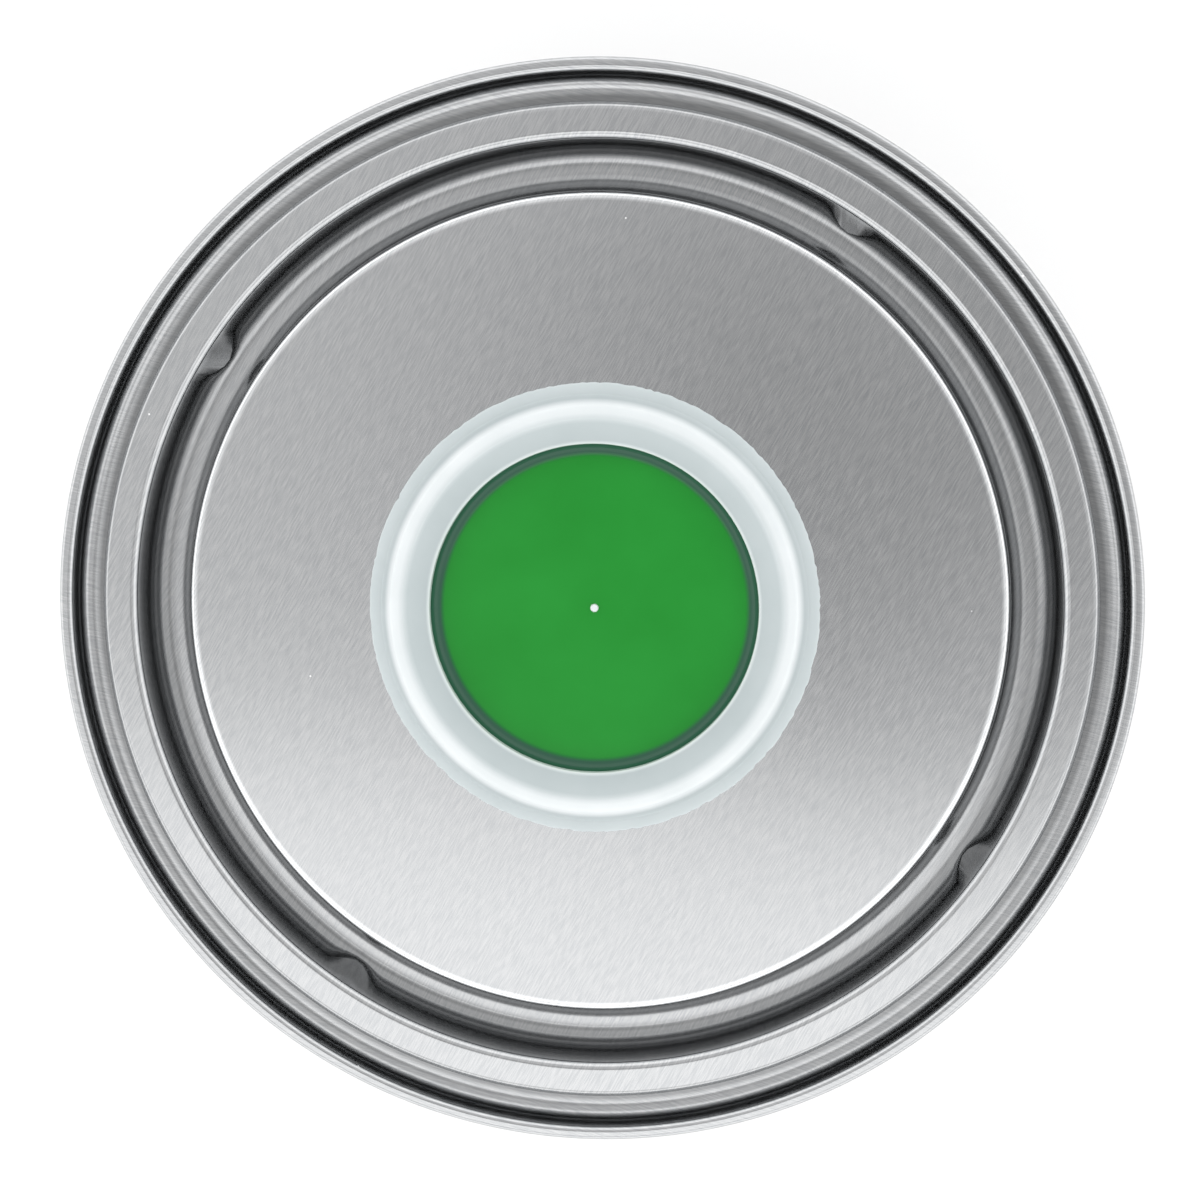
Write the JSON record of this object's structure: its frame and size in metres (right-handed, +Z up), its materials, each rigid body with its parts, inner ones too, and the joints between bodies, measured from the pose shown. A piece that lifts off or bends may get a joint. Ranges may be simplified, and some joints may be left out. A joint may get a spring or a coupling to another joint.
{
  "type": "paint can",
  "caption": "Small round tinplate paint can with a double-seamed body, a lever lid and a see-through tinting plug, full of green paint.",
  "frame": {"origin": "centre of the can's round outline, on the plane that its bottom seam stands on", "axes": "+Z up the can's axis from the bottom to the lid; +Y towards the side weld; +X to the right when +Y points away"},
  "size_m": [0.101, 0.101, 0.119],
  "materials": {
    "body_tinplate": "bright rolled tinplate, grain round the body",
    "end_tinplate": "bright pressed tinplate",
    "lid_tinplate": "satin tinplate with a fine straight grain",
    "seam_compound": "matt latex",
    "plug_plastic": "milky translucent polyethylene",
    "paint": "wet gloss paint"
  },
  "bodies": {
    "can": {"body_shell": "body_tinplate", "top_ring": "end_tinplate", "bottom_end": "end_tinplate", "top_seam_compound": "seam_compound", "bottom_seam_compound": "seam_compound", "paint_fill": "paint"},
    "lid": {"lever_lid": "lid_tinplate"},
    "plug": {"tint_plug": "plug_plastic", "paint_film": "paint"}
  },
  "joints": [
    {"name": "lid_lift", "type": "slide", "parent": "can", "child": "lid", "axis": [0, 0, 1], "range_m": [0, 0.06]},
    {"name": "plug_lift", "type": "slide", "parent": "lid", "child": "plug", "axis": [0, 0, 1], "range_m": [0, 0.03]}
  ]
}
